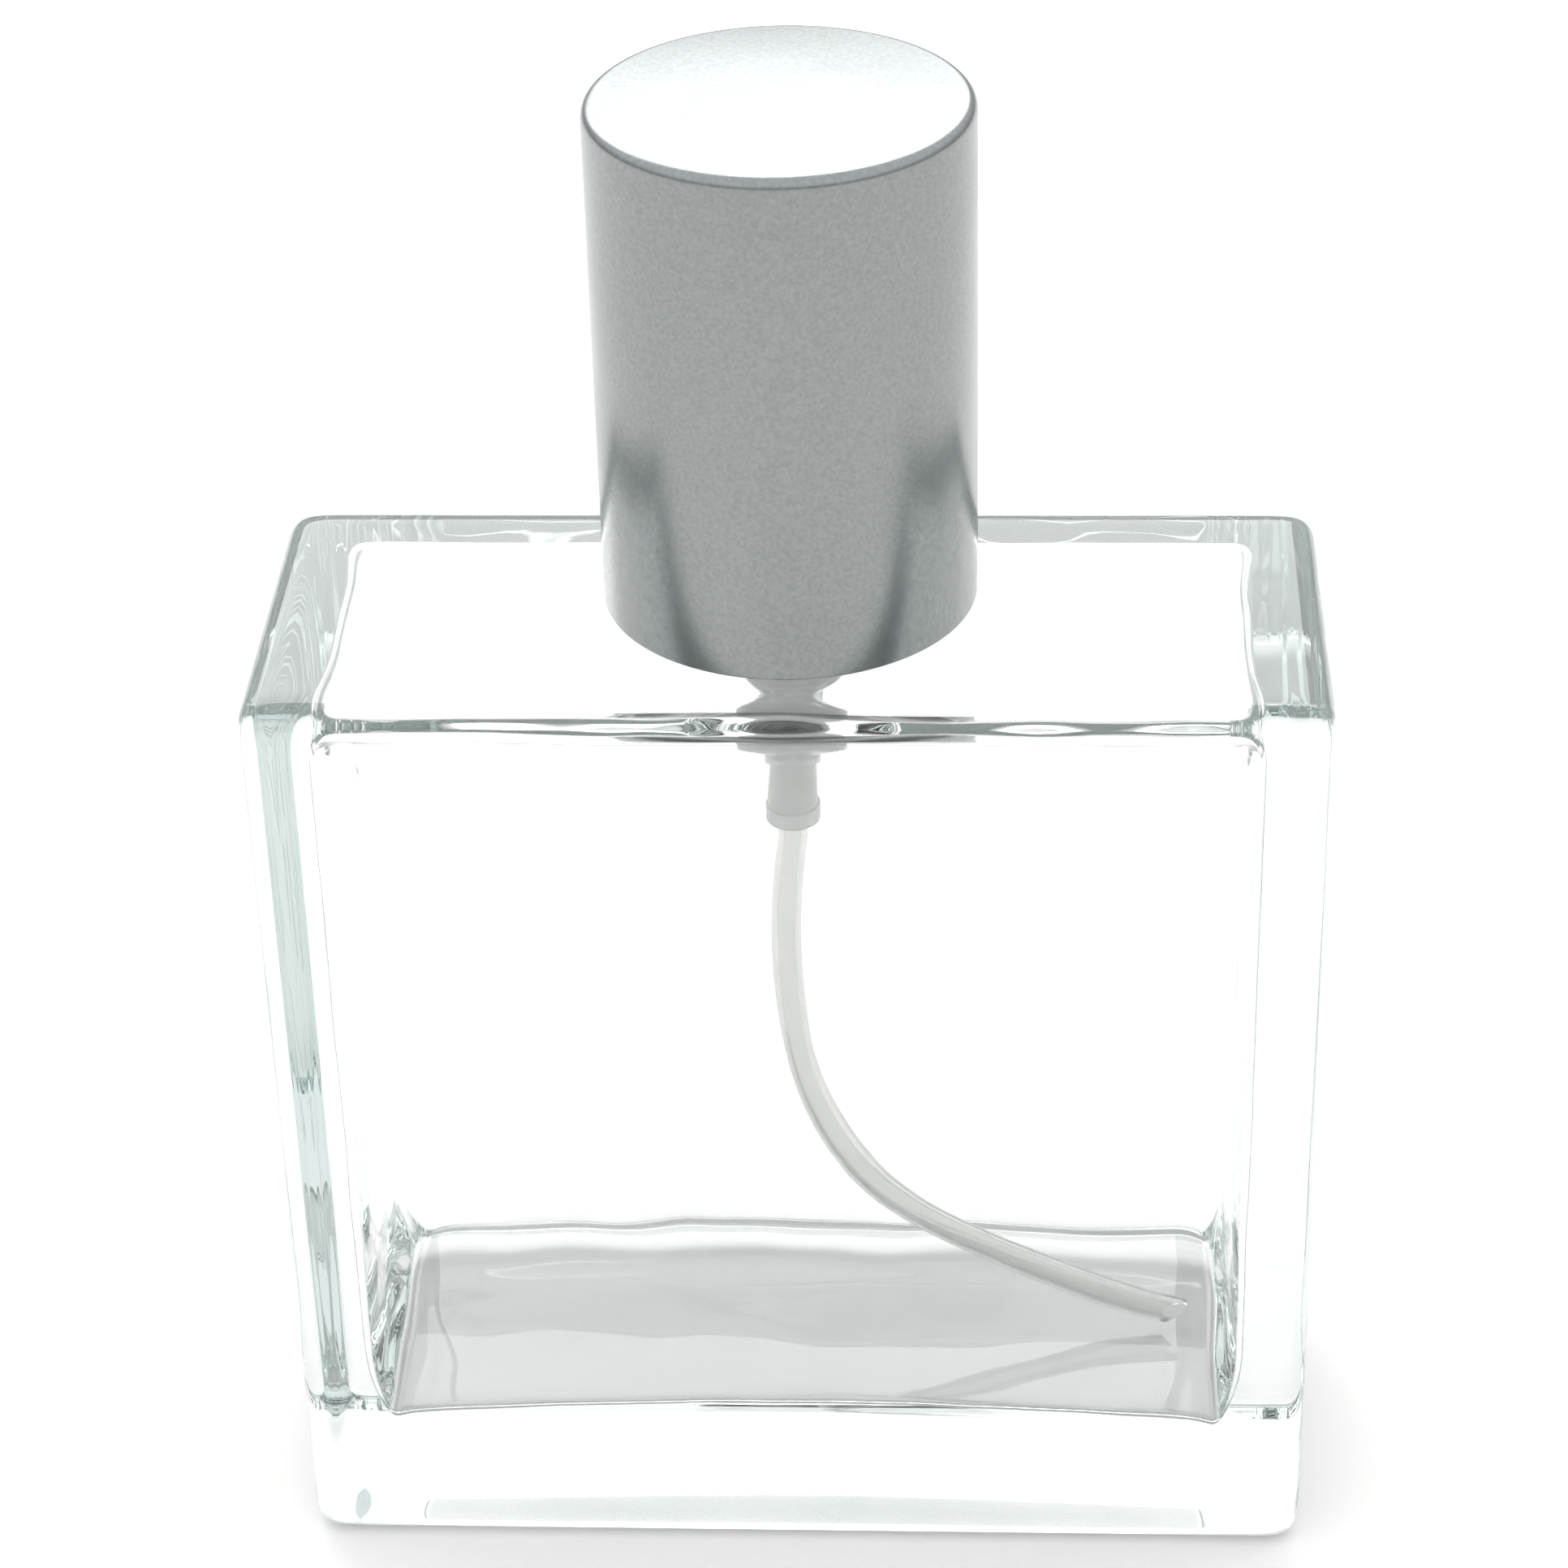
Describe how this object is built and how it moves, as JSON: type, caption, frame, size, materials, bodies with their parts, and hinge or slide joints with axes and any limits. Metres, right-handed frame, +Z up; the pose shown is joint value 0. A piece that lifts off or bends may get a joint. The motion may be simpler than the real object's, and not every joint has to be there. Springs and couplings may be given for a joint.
{
  "type": "aftershave bottle",
  "caption": "Rectangular clear-glass bottle with a thick base, a crimped fine-mist spray pump with a curved dip tube, and a plain cylindrical lift-off metal overcap.",
  "frame": {"origin": "centre of the bottle's footprint, on the surface it stands on", "axes": "+X across the bottle's width, -Y towards its front face, +Z up along the neck and pump"},
  "size_m": [0.07, 0.028, 0.1042],
  "materials": {
    "flint_glass": "fire-polished clear flint glass with a faint grey-green edge",
    "anodised_aluminium": "silver anodised, satin-bright, drawn",
    "bare_aluminium": "bright rolled sheet, crimped",
    "natural_polypropylene": "moulded, milky translucent",
    "natural_polyethylene": "extruded or moulded, milky translucent",
    "white_acetal": "moulded white, low gloss",
    "spring_steel": "drawn stainless wire",
    "valve_steel": "polished ball",
    "gasket_rubber": "white, matt"
  },
  "bodies": {
    "bottle": {"glass_bottle": "flint_glass", "neck_gasket": "gasket_rubber", "crimp_ferrule": "bare_aluminium", "turret": "white_acetal", "stem_gasket": "gasket_rubber", "pump_housing": "natural_polypropylene", "dip_tube": "natural_polyethylene", "return_spring": "spring_steel", "collar_liner": "natural_polypropylene", "collar_shell": "anodised_aluminium"},
    "stem": {"upper_stem": "white_acetal", "lower_stem": "white_acetal", "precompression_spring": "spring_steel"},
    "piston": {"piston": "natural_polyethylene"},
    "actuator": {"actuator_button": "white_acetal", "actuator_sleeve": "anodised_aluminium", "spray_insert": "white_acetal"},
    "inlet_ball": {"inlet_ball": "valve_steel"},
    "overcap": {"overcap_shell": "anodised_aluminium", "overcap_liner": "natural_polypropylene"}
  },
  "joints": [
    {"name": "overcap_lift", "type": "slide", "parent": "bottle", "child": "overcap", "axis": [0, 0, 1], "range_m": [0, 0.045]},
    {"name": "stem_press", "type": "slide", "parent": "bottle", "child": "stem", "axis": [0, 0, -1], "range_m": [0, 0.0045], "stiffness_N_per_m": 1500, "springref_m": -0.003, "deforming": ["return_spring"]},
    {"name": "actuator_turn", "type": "hinge", "parent": "stem", "child": "actuator", "pos_m": [0, 0, 0.09], "axis": [0, 0, 1], "continuous": true},
    {"name": "piston_slip", "type": "slide", "parent": "stem", "child": "piston", "axis": [0, 0, 1], "range_m": [0, 0.0005], "stiffness_N_per_m": 400, "springref_m": -0.001, "deforming": ["precompression_spring"]},
    {"name": "inlet_ball_lift", "type": "slide", "parent": "bottle", "child": "inlet_ball", "axis": [0, 0, 1], "range_m": [0, 0.0006]}
  ]
}
